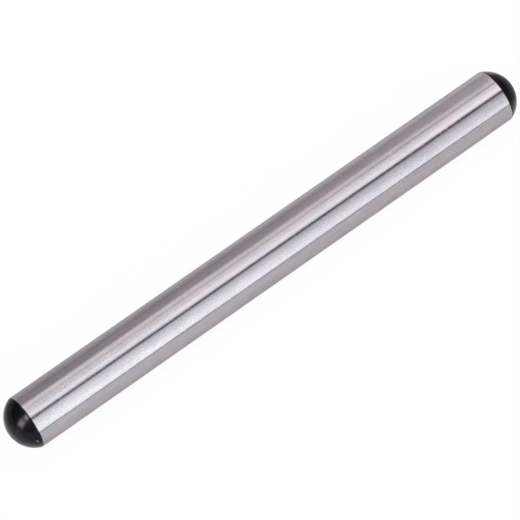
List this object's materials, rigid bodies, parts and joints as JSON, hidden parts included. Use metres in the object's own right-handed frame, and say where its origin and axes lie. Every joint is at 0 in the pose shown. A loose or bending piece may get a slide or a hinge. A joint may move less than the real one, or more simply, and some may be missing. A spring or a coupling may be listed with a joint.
{
  "type": "clutch push rod",
  "caption": "Straight round steel rod with a ground shank and a domed nose at each end, which passes a clutch's release force along a hollow shaft.",
  "frame": {"origin": "middle of the rod's axis, halfway between the tips of its two noses", "axes": "+X along the rod's axis; +Y and +Z across it, and either may point up because the rod is round"},
  "size_m": [0.0878, 0.008, 0.008],
  "materials": {
    "ground_steel": "satin, ground lengthwise, faintly mauve grey",
    "black_scale": "satin black scale of the heat treatment, on the two noses"
  },
  "bodies": {
    "root": {"push_rod": "ground_steel"}
  },
  "joints": []
}
